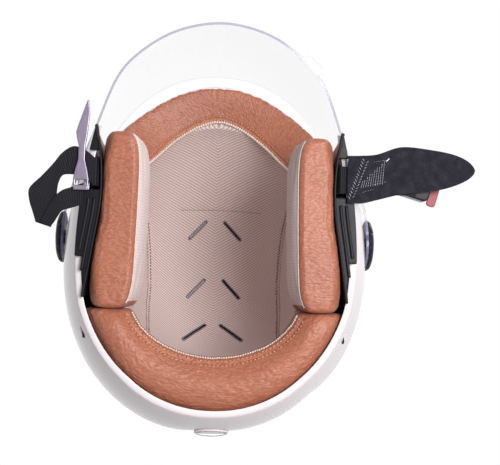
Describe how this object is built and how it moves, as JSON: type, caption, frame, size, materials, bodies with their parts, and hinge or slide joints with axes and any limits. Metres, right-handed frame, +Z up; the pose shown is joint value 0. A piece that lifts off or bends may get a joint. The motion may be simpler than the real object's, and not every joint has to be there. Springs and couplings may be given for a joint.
{
  "type": "open face motorcycle helmet",
  "caption": "Open face motorcycle helmet with a clear flip-up visor, leather covered padding, knit crown liner and a two-part chin strap with a ratchet buckle.",
  "frame": {"origin": "centre of the head opening, on the plane that the cheek pads and the neck roll rest on when the helmet stands on a table", "axes": "+Z up as worn, -Y the way the face looks, +X the wearer's left"},
  "size_m": [0.3254, 0.324, 0.23],
  "materials": {
    "shell_paint": "pearl cream lacquer over a moulded shell",
    "impact_foam": "black expanded foam",
    "knit": "beige knitted mesh over foam",
    "leather": "tan grained leather, stitched",
    "black_plastic": "satin black moulding",
    "visor_clear": "clear moulded shield",
    "webbing": "black woven webbing",
    "felt": "charcoal felt, stitched",
    "red_plastic": "glossy red lever",
    "steel": "bright pressed steel"
  },
  "bodies": {
    "helmet": {"outer_shell": "shell_paint", "eps_liner": "impact_foam", "crown_liner": "knit", "brow_roll": "leather", "neck_roll": "leather", "rear_badge": "shell_paint", "cheek_pad_left": "leather", "cheek_pad_right": "leather", "cheek_pad_base_left": "impact_foam", "cheek_pad_base_right": "impact_foam", "cheek_snap_strip_left": "black_plastic", "cheek_snap_strip_right": "black_plastic", "side_trim_left": "black_plastic", "side_trim_right": "black_plastic", "pivot_cap_left": "black_plastic", "pivot_cap_right": "black_plastic", "pivot_screw_left": "steel", "pivot_screw_right": "steel", "pivot_washer_left": "black_plastic", "pivot_washer_right": "black_plastic", "pivot_nut_left": "steel", "pivot_nut_right": "steel", "strap_anchor_plate_left": "steel", "strap_anchor_plate_right": "steel", "strap_rivet_left": "steel", "strap_rivet_right": "steel", "strap_inner_left": "webbing", "strap_inner_right": "webbing", "side_vent_left": "black_plastic", "side_vent_right": "black_plastic"},
    "visor": {"visor_lens": "visor_clear"},
    "strap_left": {"chin_pad": "felt", "strap_webbing_left": "webbing", "buckle_housing": "black_plastic", "lever_pin": "steel", "lever_spring": "steel"},
    "lever": {"release_lever": "red_plastic"},
    "strap_right": {"strap_webbing_right": "webbing"},
    "tongue": {"ratchet_tongue": "steel"}
  },
  "joints": [
    {"name": "visor_lift", "type": "hinge", "parent": "helmet", "child": "visor", "pos_m": [0, 0.01, 0.085], "axis": [-1, 0, 0], "range_deg": [0, 55]},
    {"name": "strap_left_swing", "type": "hinge", "parent": "helmet", "child": "strap_left", "pos_m": [0.0888, -0.034, 0.004], "axis": [0, 1, 0], "range_deg": [0, 90]},
    {"name": "release_lever_lift", "type": "hinge", "parent": "strap_left", "child": "lever", "pos_m": [0.13677, -0.03663, 0.01425], "axis": [0.2756, -0.9613, 0], "range_deg": [0, 30], "stiffness_Nm_per_rad": 0.02, "springref_deg": -17.19},
    {"name": "strap_right_swing", "type": "hinge", "parent": "helmet", "child": "strap_right", "pos_m": [-0.0888, -0.034, 0.004], "axis": [0, -1, 0], "range_deg": [0, 90]},
    {"name": "tongue_flip", "type": "hinge", "parent": "strap_right", "child": "tongue", "pos_m": [-0.0996, -0.02, 0.00275], "axis": [1, 0, 0], "range_deg": [0, 60]}
  ]
}
